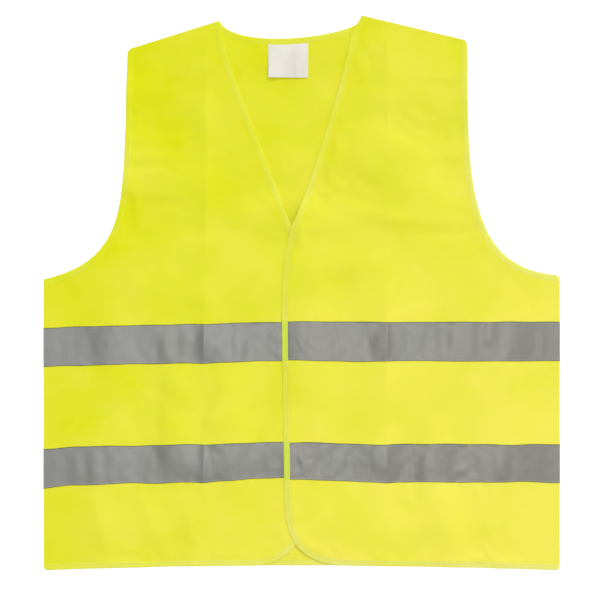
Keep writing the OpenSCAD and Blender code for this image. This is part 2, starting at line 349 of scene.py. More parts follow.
class Layer:
    """One cloth layer of the vest, with its outline, its height and its relief."""

    def __init__(self, name, joint=None, body=ROOT, *, seed, facing=1):
        self.name, self.body, self.seed, self.facing = name, body, seed, facing
        self.fold = Fold(joint) if joint else None
        nodes = PANEL_NODES[name]
        lo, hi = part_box(nodes[0])
        self.z = (lo.z + hi.z) / 2
        self.outline = joined_outline(nodes[0], nodes[1], self.fold) if joint else top_loop(nodes[0])
        self.chains, self.seams = split_at_seams(self.outline)
        shared = 7 if joint else seed  # both fronts rise and fall together, so that they keep their distance
        self.broad = Waves(shared, 0.12, 0.35, 10)
        self.mid = Waves(shared + 40, 0.035, 0.10, 24)
        self.fine = Waves(seed + 80, 0.012, 0.024, 32)
        self.grid = None
        self.under = None
        self.clearance = 1.15 * MM
        self.tape_bands = []
        self.sag_paths = []

    def simulated(self, xy):
        """The cloth simulation's relief, read between its grid points."""
        if self.grid is None:
            return np.zeros(len(xy))
        origin, step, field = self.grid
        p = np.clip((xy - origin) / step, 0, np.array(field.shape) - 1.001)
        i, t = np.floor(p).astype(int), p - np.floor(p)
        f = [field[i[:, 0] + a, i[:, 1] + b] for a in (0, 1) for b in (0, 1)]
        return (1 - t[:, 0]) * ((1 - t[:, 1]) * f[0] + t[:, 1] * f[1]) + t[:, 0] * (
            (1 - t[:, 1]) * f[2] + t[:, 1] * f[3]
        )

    def taped(self, xy):
        """1 along the middle of the front tapes, 0 at their edges and beyond."""
        out = np.zeros(len(xy))
        if self.fold:
            for middle in FRONT_TAPE_MIDDLES:
                t = np.clip((xy[:, 1] - middle(np.minimum(xy[:, 0], 0))) / TAPE_W + 0.5, 0, 1)
                out += np.sin(math.pi * t) ** 1.5
        return out

    def slack(self, xy):
        """Soft folds of the loose cloth, the same in both fronts so that they lie together."""
        chest = smooth((xy[:, 1] + 10 * MM) / (90 * MM))
        patchy = np.clip(0.8 + 0.5 * PATCHINESS(xy), 0.2, 1.5)
        out = patchy * MM * (1.9 * chest * CHEST_SLACK(xy) + 1.5 * (1 - chest) * WAIST_SLACK(xy))
        near = np.exp(-np.abs(xy[:, 0] - CLOSURE_X) / (38 * MM))
        ridges = np.exp(-((SLANTED(xy) / 0.9) ** 2))
        out += self.taped(xy) * (0.50 * MM * TAPE_SLACK(xy) + 0.8 * MM * near * ridges)
        return SLACK_LIMIT * np.tanh(out / SLACK_LIMIT)

    def puckers(self, xy):
        """Short ripples drawn up by the stitching along tapes and bound edges."""
        out = np.zeros(len(xy))
        for low, high in self.tape_bands:
            for line in (low, high):
                d = np.abs(xy[:, 1] - line(xy[:, 0]))
                out += np.exp(-d / (9 * MM))
        for path in self.chains:
            out += 0.8 * np.exp(-path_distance(xy, path) / (10 * MM))
        free = smooth((np.abs(xy[:, 0] - CLOSURE_X) - CLOSURE_HALF) / (6 * MM)) if self.fold else 1
        return np.minimum(out, 1.3) * self.fine(xy) * PUCKER_H * free

    def relief(self, xy):
        """Height of the cloth's middle above its CAD plane."""
        z = BROAD_H * self.broad(xy) + SMALL_H * self.mid(xy) + self.slack(xy)
        drift = CREASE_DRIFT(xy) * CREASE_SWAY
        fade = np.clip(0.75 + 0.45 * CREASE_FADE(xy), 0.1, 1.3)
        for axis, place, height, reach in CREASES:
            d = np.abs(xy[:, axis] - place - drift)
            sharp = height * fade if axis else height * (fade + 1.1 * self.taped(xy))
            z += sharp * np.exp(-np.sqrt(d * d + CREASE_ROUND**2) / reach)
        if self.fold:
            for start, end, width, height in FOLDS:
                d = segment_distance(xy, np.array(start) * MM, np.array(end) * MM)
                z += height * MM * np.exp(-((d / (0.6 * width * MM)) ** 2))
        z += self.simulated(xy) + self.puckers(xy)
        if self.facing < 0:
            z = BACK_SHARE * z
            z = z + np.maximum(BACK_LEAST_Z - self.z - z, 0)
        for path, drop, reach, start_y, full_y in self.sag_paths:
            share = smooth((xy[:, 1] - start_y) / (full_y - start_y))
            z -= drop * share * smooth(1 - path_distance(xy, path) / reach)
        if self.fold:
            z -= HEM_DROP * smooth((HEM_Y + 58 * MM - xy[:, 1]) / (52 * MM))
        if self.under:
            least = self.under.z + self.under.relief(xy) + self.clearance - self.z
            soft = 0.3 * MM
            z = least + np.logaddexp(0, (z - least) / soft) * soft
        join = SEAM_JOIN_Z + self.facing * SEAM_GAP / 2
        for a, b in self.seams:
            reach = SIDE_RISE if abs(a[0] - b[0]) < 1 * MM else SHOULDER_RISE
            if self.facing < 0:
                reach = BACK_RISE
            f = smooth(1 - segment_distance(xy, a, b) / reach)
            z = z * (1 - f) + (join - self.z + 0.08 * z) * f
        return z

    def tape_cover(self, xy):
        """Height that the reflective tape adds to the outer face."""
        y = xy[:, 1]
        out = np.zeros(len(xy))
        for low, high in self.tape_bands:
            out += smooth((y - low(xy[:, 0])) / MM + 1.2) * smooth((high(xy[:, 0]) - y) / MM + 1.2)
        return out * TAPE_COVER

    def inner_cover(self, xy):
        """Height that the care label adds to the inner face."""
        if self.fold:
            return np.zeros(len(xy))
        lo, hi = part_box("care_label")
        side = smooth((xy[:, 0] - lo.x) / MM + 0.5) * smooth((hi.x - xy[:, 0]) / MM + 0.5)
        return side * smooth((xy[:, 1] - lo.y) / MM) * (LABEL_T + 0.05 * MM)

    def place(self, xy, above=0.0):
        """Points on the cloth, `above` its middle."""
        xy = np.atleast_2d(np.asarray(xy, float))
        return np.column_stack([xy, self.z + self.relief(xy) + above])


class Between:
    """The gap between two layers, where their seam allowances lie."""

    facing, fold, body = 1, None, ROOT

    def __init__(self, lower, upper):
        self.lower, self.upper = lower, upper

    def place(self, xy, above=0.0):
        """Points halfway between the layers, raised by `above`."""
        low, high = self.lower.place(xy), self.upper.place(xy)
        points = (low + high) / 2
        points[:, 2] += above
        return points


# ---------------------------------------------------------------- mesh building


def in_scene(name, data):
    """A new object of the scene."""
    obj = bpy.data.objects.new(name, data)
    bpy.context.scene.collection.objects.link(obj)
    return obj


def new_mesh(name, vertices, faces):
    """A smooth-shaded mesh object whose faces all point outwards."""
    mesh = bpy.data.meshes.new(name)
    mesh.from_pydata(np.asarray(vertices, float).tolist(), [], [list(map(int, f)) for f in faces])
    mesh.validate()
    shell = bmesh.new()
    shell.from_mesh(mesh)
    bmesh.ops.recalc_face_normals(shell, faces=shell.faces)
    shell.to_mesh(mesh)
    shell.free()
    mesh.polygons.foreach_set("use_smooth", [True] * len(mesh.polygons))
    mesh.set_sharp_from_angle(angle=math.radians(50))
    mesh.update()
    return in_scene(name, mesh)


def thickened(vertices, faces, rim, thickness):
    """A closed sheet from an open one: two faces `thickness` apart, joined along its ordered rim."""
    n = len(vertices)
    normals = np.zeros((n, 3))
    v = np.asarray(vertices, float)
    f = np.array([face[:3] for face in faces])
    face_normals = np.cross(v[f[:, 1]] - v[f[:, 0]], v[f[:, 2]] - v[f[:, 0]])
    for corner in range(3):
        np.add.at(normals, f[:, corner], face_normals)
    normals /= np.maximum(np.linalg.norm(normals, axis=1), 1e-12)[:, None]
    points = np.vstack([v + normals * thickness / 2, v - normals * thickness / 2])
    out = [tuple(face) for face in faces]
    out += [tuple(i + n for i in reversed(face)) for face in faces]
    for a, b in zip(rim, list(rim[1:]) + [rim[0]]):
        out.append((b, a, a + n, b + n))
    return points, out


def grid_faces(rows, columns):
    """Quads of a grid stored row by row, and its rim, counter-clockwise when rows go up and columns right."""
    at = lambda r, c: r * columns + c
    faces = [
        (at(r, c), at(r, c + 1), at(r + 1, c + 1), at(r + 1, c))
        for r in range(rows - 1)
        for c in range(columns - 1)
    ]
    rim = [at(0, c) for c in range(columns)]
    rim += [at(r, columns - 1) for r in range(1, rows)]
    rim += [at(rows - 1, c) for c in range(columns - 2, -1, -1)]
    rim += [at(r, 0) for r in range(rows - 2, 0, -1)]
    return faces, rim


def tube_faces(rings, sides, base=0):
    """Faces of a tube with closed ends, whose points are stored ring by ring from `base` on."""
    faces = []
    for r in range(rings - 1):
        for s in range(sides):
            a, b = base + r * sides + s, base + r * sides + (s + 1) % sides
            faces.append((a, a + sides, b + sides, b))
    last = base + (rings - 1) * sides
    return faces + [tuple(range(base, base + sides)), tuple(range(last + sides - 1, last - 1, -1))]


def grid_points(x, y):
    """Every pairing of some x with some y, row by row."""
    gx, gy = np.meshgrid(x, y)
    return np.column_stack([gx.ravel(), gy.ravel()])


def inside(points, loop):
    """Which points lie inside a closed outline."""
    x, y = points[:, 0], points[:, 1]
    odd = np.zeros(len(points), bool)
    for (x0, y0), (x1, y1) in zip(loop, np.roll(loop, -1, 0)):
        if y0 != y1:
            odd ^= ((y0 > y) != (y1 > y)) & (x < (x1 - x0) * (y - y0) / (y1 - y0) + x0)
    return odd


def panel_points(layer, loop):
    """Places inside a panel's outline: an even stagger, closer rows at its fold, and rows along its creases.
    """
    lo, hi = loop.min(0), loop.max(0)
    rows = np.arange(lo[1], hi[1], GRID * 0.87)
    points = []
    for r, y in enumerate(rows):
        x = np.arange(lo[0] + (r % 2) * GRID / 2, hi[0], GRID)
        points.append(np.column_stack([x, np.full(len(x), y)]))
    points = np.vstack(points)
    extra = []
    fold = layer.fold
    if fold:
        points = points[np.abs(fold.distance(points)) > NEAR_FOLD]
        reach = np.arange(-HALF_L * 1.1, HALF_L * 1.1, EDGE_STEP)
        for d in np.arange(-FOLD_REACH - 1 * MM, FOLD_REACH + 1.1 * MM, 1 * MM):
            extra.append(fold.at + reach[:, None] * fold.along + d * fold.across)
    for axis, place, _, _ in CREASES:
        run = np.arange(lo[1 - axis], hi[1 - axis], EDGE_STEP)
        xy = np.column_stack([run, run])
        xy[:, axis] = place
        xy[:, axis] += CREASE_DRIFT(xy) * CREASE_SWAY
        off = np.abs(points[:, axis] - place - CREASE_DRIFT(points) * CREASE_SWAY)
        points = points[off > 1.6 * MM]
        if fold:
            xy = xy[np.abs(fold.distance(xy)) > NEAR_FOLD]
        extra.append(xy)
    points = np.vstack([points] + extra)
    points = points[inside(points, loop)]
    clear = path_distance(points, np.vstack([loop, loop[:1]])) > 1.2 * MM
    return points[clear]


def filled(loop, points):
    """Triangles within a closed outline that use the given points: places, faces, and the rim in order."""
    places = np.vstack([loop, points])
    result = delaunay_2d_cdt([Vector(p) for p in places], [], [list(range(len(loop)))], 1, 1e-7)
    rim_at = {source: i for i, sources in enumerate(result[3]) for source in sources}
    return np.array([tuple(p) for p in result[0]]), result[2], [rim_at[i] for i in range(len(loop))]


def make_panel(layer, name):
    """A knitted panel: one closed sheet within the layer's outline."""
    loop = subdivided(layer.outline, EDGE_STEP)
    xy, faces, rim = filled(loop, panel_points(layer, loop))
    points, faces = thickened(layer.place(xy), faces, rim, PANEL_T)
    return finished(new_mesh(name, points, faces), layer, YELLOW)


def finished(obj, layer, material):
    """Gives a piece its material and its body. A piece that crosses its layer's fold gets no body, and its
    placement is baked into its mesh.
    """
    obj.data.materials.append(material)
    body = layer.body
    if layer.fold:
        d = layer.fold.distance([v.co[:2] for v in obj.data.vertices])
        if d.min() < FOLD_REACH and d.max() > -FOLD_REACH:
            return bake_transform(obj)
        if d.min() <= 0:
            body = ROOT
    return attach(obj, body)


def tinted(obj, material, which):
    """Gives some of a piece's faces a second material."""
    obj.data.materials.append(material)
    obj.data.polygons.foreach_set("material_index", np.array(which, dtype=np.int32))
    return obj


def strip_ticks(start, end, step, fold_at=None):
    """Places along a strip, closer together near the fold."""
    n = max(2, int(math.ceil((end - start) / step)) + 1)
    ticks = list(np.linspace(start, end, n))
    if fold_at is not None:
        lo, hi = fold_at
        ticks = [t for t in ticks if t < lo - step * 0.4 or t > hi + step * 0.4]
        ticks += list(np.arange(lo, hi, 1 * MM))
    return np.array(sorted(t for t in ticks if start <= t <= end))


def tape_wrinkles(layer, xy, across, edge):
    """Ribs drawn up by each stitch at a tape's edges, and its own small wrinkles between them."""
    phase = 2 * math.pi * xy[:, 0] / STITCH_PITCH
    uneven = Waves(layer.seed + 31, 0.02, 0.08, 10)(xy)
    ribs = 0.09 * MM * (1 + np.sin(phase)) * np.clip(1 + 0.7 * uneven, 0, 2) * np.exp(-edge / (3.5 * MM))
    loose = np.sin(math.pi * across) ** 1.5
    small = Waves(layer.seed + 33, 0.012, 0.030, 24)(xy)
    slanted = Waves(layer.seed + 35, 0.016, 0.040, 10, stretch=(1.0, 0.55))(xy)
    near = 0.25 + np.exp(-np.abs(xy[:, 0] - CLOSURE_X) / (60 * MM))
    creases = np.exp(-((slanted / 0.35) ** 2))
    return ribs + loose * (0.14 * MM + 0.06 * MM * small + 0.26 * MM * near * creases)


# Rows of points across a tape, as shares of its width, closer together at its edges
TAPE_ROWS = [0, 0.011, 0.028, 0.05, 0.09, 0.14, *np.linspace(0.18, 0.82, 19)]
TAPE_ROWS += [0.86, 0.91, 0.95, 0.972, 0.989, 1]


def make_tape(layer, name, low, high, x0, x1):
    """A strip of reflective tape between its low and high edges, given as functions of x."""
    fold_at = None
    if layer.fold:
        at, along = layer.fold.at, layer.fold.along
        xs = [at[0] + (y - at[1]) * along[0] / along[1] for y in (low(0), high(0))]
        fold_at = (min(xs) - FOLD_REACH - 4 * MM, max(xs) + FOLD_REACH + 4 * MM)
    x = strip_ticks(x0, x1, 1.05 * MM if layer.fold else 2.6 * MM, fold_at)
    xx, tt = np.meshgrid(x, TAPE_ROWS)
    yy = low(xx) * (1 - tt) + high(xx) * tt
    xy = np.column_stack([xx.ravel(), yy.ravel()])
    xy[:, 1] += 0.35 * MM * Waves(layer.seed + 7, 0.03, 0.12, 8)(xy)
    above = (PANEL_T + TAPE_T) / 2 + (0.10 if layer.fold else 0.05) * MM
    edge = np.minimum(tt, 1 - tt).ravel() * TAPE_W
    above = above + 0.10 * MM * np.exp(-((edge - 0.4 * MM) / (0.9 * MM)) ** 2)  # a raised cut edge
    above = above - 0.05 * MM * np.exp(-((edge - TAPE_ROW) / (0.8 * MM)) ** 2)  # drawn in by the stitches
    if layer.fold:
        inner_end = x0 if abs(x0 - CLOSURE_X) < abs(x1 - CLOSURE_X) else x1
        bare = smooth((np.abs(xy[:, 0] - inner_end) - BINDING_W - 1 * MM) / (9 * MM))
        above = above + bare * tape_wrinkles(layer, xy, tt.ravel(), edge)
    points = layer.place(xy, layer.facing * above)
    faces, rim = grid_faces(len(TAPE_ROWS), len(x))
    points, faces = thickened(points, faces, rim, TAPE_T)
    obj = finished(new_mesh(name, points, faces), layer, TAPE)
    # The faces of the two outermost rows are dark olive: partly the tape's fabric backing at its cut edge,
    # and partly a painted shadow along the edge.
    row = np.arange(len(points)) % len(xy) // len(x)
    outermost = np.minimum(row, len(TAPE_ROWS) - 1 - row) < 2
    return tinted(obj, TAPE_EDGE_BACKING_AND_SHADE, [all(outermost[v] for v in p.vertices) for p in obj.data.polygons])


def binding_profile():
    """The section of a folded binding: inward from the edge, and up from the cloth's middle, closed."""
    w = BINDING_W
    crown, core = 0.62 * MM, PANEL_T / 2 + 0.06 * MM
    outer = [(w, 0.56), (w - 0.5 * MM, 0.72), (0.84 * w, 0.86), (0.74 * w, 0.80), (0.62 * w, 0.88),
             (0.45 * w, 0.97), (0.25 * w, 1.0), (0.10 * w, 0.88), (0.03 * w, 0.55), (0, 0.0)]
    top = [(u, v * crown) for u, v in outer]
    ring = top + [(u, -v) for u, v in reversed(top[:-1])]
    inner = [(w, -core), (0.5 * w, -core), (0.8 * MM, -core), (0.45 * MM, 0), (0.8 * MM, core),
             (0.5 * w, core), (w, core)]
    return np.array(ring + inner)


def corner_cut(distance, radius):
    """How far a turned corner draws an edge in, at a distance from the corner."""
    if radius < 1 * MM:
        return np.zeros_like(distance)
    return radius * np.clip(1 - np.sqrt(np.clip(distance / radius, 0, 1)), 0, 1) ** 2


class Band:
    """A binding's course along one bound edge of a layer."""

    def __init__(self, layer, chain, seam_start, seam_end):
        self.layer = layer
        path, r0, r1 = extended(chain, seam_start, seam_end)
        path = resampled(path, EDGE_STEP)
        if layer.fold:
            path = self.refined(path, layer.fold)
        self.path = path
        self.normal = leftward(path)
        at = np.concatenate([[0], np.cumsum(np.linalg.norm(np.diff(path, axis=0), axis=1))])
        self.cut = corner_cut(at, r0) + corner_cut(at[-1] - at, r1)
        self.seams = [seam_start, seam_end]

    @staticmethod
    def refined(path, fold):
        """The path with closer points where it crosses the fold."""
        out = [path[0]]
        for a, b in zip(path[:-1], path[1:]):
            near = min(abs(fold.distance(a)), abs(fold.distance(b))) < FOLD_REACH + 2 * MM
            n = 3 if near else 1
            out.extend(a + (b - a) * k / n for k in range(1, n + 1))
        return np.array(out)

    def at_depth(self, depth):
        """The line that lies `depth` inside the edge, kept within the seams at its ends."""
        share = 1 - np.clip(depth / BINDING_W, 0, 1)
        xy = self.path + self.normal * (depth + self.cut * share)[:, None]
        for a, b in self.seams:
            d = (b - a) / np.linalg.norm(b - a)
            inward = np.array([-d[1], d[0]])
            out = np.minimum((xy - a) @ inward, 0)
            xy = xy - out[:, None] * inward
        return xy


def make_binding(bands, name):
    """Binding folded over one or more bound edges, tinted where the grey of a tape shows through it."""
    profile = binding_profile()
    k = len(profile)
    vertices, faces, base = [], [], 0
    for band in bands:
        layer = band.layer
        n = len(band.path)
        ripple = Waves(layer.seed + 21, 0.006, 0.016, 16)
        rows = []
        for u, v in profile:
            xy = band.at_depth(np.full(n, u))
            swell = 1 + 0.10 * ripple(xy) * (abs(v) > 0.4 * MM)
            lift = 0
            if v > 0:
                lift = layer.tape_cover(xy)
            elif v < 0:
                lift = -layer.inner_cover(xy)
            rows.append(layer.place(xy, layer.facing * (v * swell + lift)))
        vertices.append(np.stack(rows, 1).reshape(-1, 3))
        faces += tube_faces(n, k, base)
        base += n * k
    layer = bands[0].layer
    obj = finished(new_mesh(name, np.vstack(vertices), faces), layer, BINDING)
    if not layer.fold:
        return obj
    centres = np.array([p.center for p in obj.data.polygons])
    on_tape = layer.tape_cover(centres[:, :2]) > 0.999 * TAPE_COVER
    outer = centres[:, 2] > layer.place(centres[:, :2])[:, 2]
    return tinted(obj, BINDING_ON_TAPE, on_tape & outer)


def stitch_template(sides=5):
    """One thread stitch a unit long: rings of points along it as (along, side, up), and faces."""
    stations = [(-0.5, 0.45, -0.7), (-0.3, 1.0, 0.1), (0.0, 1.0, 0.45), (0.3, 1.0, 0.1), (0.5, 0.45, -0.7)]
    points = []
    for along, radius, up in stations:
        for s in range(sides):
            a = 2 * math.pi * s / sides
            points.append((along, radius * math.cos(a), up + radius * math.sin(a)))
    return np.array(points), tube_faces(len(stations), sides)


STITCH_POINTS, STITCH_FACES = stitch_template()


def stitch_row(path):
    """The two ends of each stitch of a row along a path."""
    path = resampled(path, STITCH_PITCH)
    middle = (path[:-1] + path[1:]) / 2
    half = np.diff(path, axis=0)
    half *= STITCH_L / 2 / np.maximum(np.linalg.norm(half, axis=1), 1e-9)[:, None]
    return middle - half, middle + half


def stitches(layer, ends, above, on_binding=False):
    """Points of some stitches on a layer, a block for each; a height below 0 is on the inner face."""
    start, end = ends
    way = end - start
    side = np.stack([-way[:, 1], way[:, 0]], 1) / np.linalg.norm(way, axis=1)[:, None]
    along_it, across_it, up = STITCH_POINTS.T
    xy = (
        (start + end)[:, None] / 2
        + way[:, None] * along_it[None, :, None]
        + side[:, None] * (across_it * THREAD_R)[None, :, None]
    ).reshape(-1, 2)
    height = abs(above) + np.tile(up * THREAD_R, len(way))
    if on_binding:
        height = height + (layer.tape_cover(xy) if above > 0 else layer.inner_cover(xy))
    return layer.place(xy, layer.facing * math.copysign(1, above) * height)


def make_stitching(name, rows, material):
    """One piece for several rows, each (layer, ends of its stitches, height above the cloth, on_binding)."""
    points = np.vstack([stitches(*row) for row in rows])
    per = len(STITCH_POINTS)
    faces = [tuple(k * per + i for i in face) for k in range(len(points) // per) for face in STITCH_FACES]
    return finished(new_mesh(name, points, faces), rows[0][0], material)


# ---------------------------------------------------------------- cloth simulation


def simulate(layers):
    """Lets slightly long cloth settle on a plane, held at its edges, and gives the layers its relief.

    Layers that lie on each other, like the two fronts, are one sheet here, so that they fold alike.
    """
    step, growth, frames, limit = 9 * MM, 0.006, 34, 2.2 * MM
    layer = layers[0]
    corners = np.vstack([each.outline for each in layers])
    lo = corners.min(0) - step
    count = np.ceil((corners.max(0) + step - lo) / step).astype(int) + 1
    gx, gy = np.meshgrid(np.arange(count[0]), np.arange(count[1]), indexing="ij")
    xy = lo + step * np.column_stack([gx.ravel(), gy.ravel()])
    solid = np.any([inside(xy, each.outline) for each in layers], axis=0).reshape(count)
    at = lambda i, j: i * count[1] + j
    quads = [
        (at(i, j), at(i + 1, j), at(i + 1, j + 1), at(i, j + 1))
        for i in range(count[0] - 1)
        for j in range(count[1] - 1)
        if solid[i, j] and solid[i + 1, j] and solid[i + 1, j + 1] and solid[i, j + 1]
    ]
    used = sorted({v for q in quads for v in q})
    index = {v: k for k, v in enumerate(used)}
    start = layer.relief(xy[used])
    rng = np.random.default_rng(layer.seed)
    seeded = start + rng.uniform(-0.25, 0.25, len(used)) * MM
    sheet = new_mesh(
        layer.name + "_settling",
        np.column_stack([xy[used], seeded]),
        [[index[v] for v in q] for q in quads],
    )
    neighbours = np.zeros(len(used), int)
    for q in quads:
        for v in q:
            neighbours[index[v]] += 1
    held = sheet.vertex_groups.new(name="held")
    held.add([k for k in range(len(used)) if neighbours[k] < 4], 1.0, "REPLACE")
    lines = [line for band in layer.tape_bands for line in band]
    sewn = [
        k for k, v in enumerate(used)
        if neighbours[k] == 4 and any(abs(xy[v][1] - float(line(xy[v][0]))) < step / 2 for line in lines)
    ]
    held.add(sewn, 0.12, "REPLACE")
    (x0, y0), (x1, y1) = lo, lo + step * count
    z0 = float(start.min()) - 0.6 * MM
    corners = [(x0, y0, z0), (x1, y0, z0), (x1, y1, z0), (x0, y1, z0)]
    plane = new_mesh(layer.name + "_plane", corners, [(0, 1, 2, 3)])
    plane.modifiers.new("Collision", "COLLISION")
    plane.collision.thickness_outer = 0.0008
    cloth = sheet.modifiers.new("Cloth", "CLOTH")
    settings = cloth.settings
    settings.quality = 6
    settings.mass = 0.12
    settings.tension_stiffness = 30
    settings.compression_stiffness = 30
    settings.shear_stiffness = 12
    settings.bending_stiffness = 0.4
    settings.air_damping = 2
    settings.vertex_group_mass = "held"
    settings.shrink_min = -growth
    cloth.collision_settings.distance_min = 0.0008
    cloth.collision_settings.use_self_collision = False
    cloth.point_cache.frame_start, cloth.point_cache.frame_end = 1, frames
    scene = bpy.context.scene
    for f in range(1, frames + 1):
        scene.frame_set(f)
    settled = sheet.evaluated_get(bpy.context.evaluated_depsgraph_get()).to_mesh()
    change = np.array([v.co.z for v in settled.vertices]) - start
    change = limit * np.tanh(change / limit)
    scene.frame_set(1)
    field = np.zeros(count[0] * count[1])
    field[used] = change
    for each in layers:
        each.grid = (lo, step, field.reshape(count))
    for obj in (sheet, plane):
        bpy.data.objects.remove(obj)


# ---------------------------------------------------------------- materials


def add_node(tree, kind, links=(), values=(), **settings):
    """A new node, with its settings, its linked sockets and its constant sockets."""
    made = tree.nodes.new(kind)
    for key, value in settings.items():
        setattr(made, key, value)
    for socket, source in dict(links).items():
        tree.links.new(source, made.inputs[socket])
    for socket, value in dict(values).items():
        made.inputs[socket].default_value = value
    return made


class Shader:
    """A Principled material under construction. Its patterns follow the piece's own coordinates."""

    def __init__(self, name):
        self.material = bpy.data.materials.new(name)
        self.material.use_nodes = True
        self.tree = self.material.node_tree
        self.bsdf = self.tree.nodes["Principled BSDF"]
        self.coords = self.node("ShaderNodeTexCoord").outputs["Object"]

    def node(self, kind, links=(), values=(), **settings):
        return add_node(self.tree, kind, links, values, **settings)

    def link(self, a, b):
        self.tree.links.new(a, b)

    def set(self, **values):
        """Constant values of the Principled shader's sockets."""
        for key, value in values.items():
            self.bsdf.inputs[key.replace("_", " ")].default_value = value

    def mapped(self, **values):
        """The coordinates, scaled or turned."""
        return self.node("ShaderNodeMapping", {"Vector": self.coords}, values).outputs["Vector"]

    def noise(self, scale, detail, roughness, stretch=(1, 1, 1)):
        """A noise pattern, 0 to 1."""
        values = {"Scale": scale, "Detail": detail, "Roughness": roughness}
        return self.node("ShaderNodeTexNoise", {"Vector": self.mapped(Scale=stretch)}, values).outputs["Fac"]

    def wave(self, scale, distortion, turn=0.0):
        """A pattern of parallel waves, 0 to 1, across X or turned from it by an angle."""
        values = {"Scale": scale, "Distortion": distortion, "Detail": 0.0}
        links = {"Vector": self.mapped(Rotation=(0, 0, turn))}
        return self.node("ShaderNodeTexWave", links, values).outputs["Fac"]

    def drift(self):
        """0 by the wearer's right shoulder to 1 by the hem on their left: the course of a painted light
        gradient in the base colour.
        """
        parts = self.node("ShaderNodeSeparateXYZ", {0: self.coords})
        across = self.math("MULTIPLY", parts.outputs["X"], 0.85)
        down = self.math("MULTIPLY", parts.outputs["Y"], -0.62)
        return self.math("ADD", self.math("ADD", across, down), 0.5)

    def around(self, factor, amount):
        """A factor shifted to vary around 0, by `amount` in all."""
        return self.math("MULTIPLY", self.math("SUBTRACT", factor, 0.5), amount)

    def math(self, operation, a, b):
        """A sum, difference or product of two sockets or numbers."""
        made = self.node("ShaderNodeMath", operation=operation)
        for socket, value in zip(made.inputs, (a, b)):
            if hasattr(value, "links"):
                self.link(value, socket)
            else:
                socket.default_value = value
        return made.outputs[0]

    def colour(self, factor, stops):
        """The base colour, from a ramp of (place, colour)."""
        made = self.node("ShaderNodeValToRGB", {"Fac": factor})
        for element, (place, colour) in zip(made.color_ramp.elements, stops):
            element.position = place
            element.color = (*colour, 1)
        self.link(made.outputs["Color"], self.bsdf.inputs["Base Color"])

    def roughness(self, factor, low, high):
        made = self.node("ShaderNodeMapRange", {"Value": factor}, {"To Min": low, "To Max": high})
        self.link(made.outputs["Result"], self.bsdf.inputs["Roughness"])

    def bump(self, height, distance, strength, under=None):
        """A bump's normal, on top of another bump's if one is given."""
        links = {"Height": height}
        if under is not None:
            links["Normal"] = under
        values = {"Strength": strength, "Distance": distance}
        return self.node("ShaderNodeBump", links, values).outputs["Normal"]

    def normal(self, socket):
        self.link(socket, self.bsdf.inputs["Normal"])


def knit(name, dark, light, rib=0.6 * MM, sheen=0.15, gloss=0.14):
    """A warp-knitted cloth: fine wales along Y crossed by courses, its base colour drifting between two tones
    across the piece as painted light, with a random mottle.
    """
    s = Shader(name)
    wales = s.wave(0.157 / rib, 0.4)
    courses = s.wave(0.157 / rib, 0.6, turn=math.pi / 2)
    weave = s.math("MULTIPLY", wales, courses)
    mottle = s.around(s.noise(11.0, 4.0, 0.6), 1.1)
    fine = s.noise(420.0, 2.0, 0.6)
    # Painted light: the drift makes the cloth paler and whiter towards the hem on the wearer's left, as if
    # more light and sheen fell there. The mottle is random tone.
    s.colour(s.math("ADD", s.drift(), mottle), [(0.12, dark), (0.95, light)])
    s.roughness(fine, 0.52, 0.68)
    s.set(Sheen_Weight=sheen, Sheen_Roughness=0.45, Specular_IOR_Level=gloss)
    s.normal(s.bump(fine, 0.05 * MM, 0.4, under=s.bump(weave, 0.10 * MM, 0.35)))
    return s.material


def reflective(name, cool, warm):
    """Grey glass-bead tape: fine beads under a satin coat, with faint wear and handling marks. Its tone
    drifts yellower towards the hem on the wearer's left, as painted light bounced from the yellow cloth.
    """
    s = Shader(name)
    beads = s.noise(2600.0, 1.0, 0.5)
    cloud = s.noise(14.0, 5.0, 0.62, stretch=(1, 0.6, 1))
    scuff = s.noise(160.0, 3.0, 0.7, stretch=(1, 4, 1))
    tone = s.math("ADD", s.around(cloud, 1.1), s.around(beads, 0.5))
    # Painted light: the drift turns the grey yellower towards the hem on the wearer's left, standing in for
    # light bounced from the yellow cloth. The cloud and beads are random tone.
    s.colour(s.math("ADD", s.drift(), tone), [(0.0, cool), (1.0, warm)])
    s.roughness(scuff, 0.41, 0.55)
    s.set(Metallic=0.25, Specular_IOR_Level=0.45, Coat_Weight=0.05, Coat_Roughness=0.4)
    s.normal(s.bump(beads, 0.03 * MM, 0.6, under=s.bump(scuff, 0.05 * MM, 0.3)))
    return s.material


def satin(name, dark, light):
    """A white woven satin ribbon, with its fine weft lines."""
    s = Shader(name)
    weft = s.wave(260.0, 0.3, turn=math.pi / 2)
    cloud = s.noise(30.0, 3.0, 0.5)
    s.colour(cloud, [(0.35, dark), (0.65, light)])
    s.roughness(cloud, 0.35, 0.5)
    s.set(Sheen_Weight=0.15, Specular_IOR_Level=0.5)
    s.normal(s.bump(weft, 0.04 * MM, 0.5))
    return s.material


def thread(name, dark, light):
    """Spun polyester thread, with its twist."""
    s = Shader(name)
    twist = s.wave(900.0, 1.0, turn=0.7)
    s.colour(twist, [(0.2, dark), (0.8, light)])
    s.roughness(twist, 0.45, 0.65)
    s.set(Specular_IOR_Level=0.4)
    s.normal(s.bump(twist, 0.04 * MM, 0.6))
    return s.material


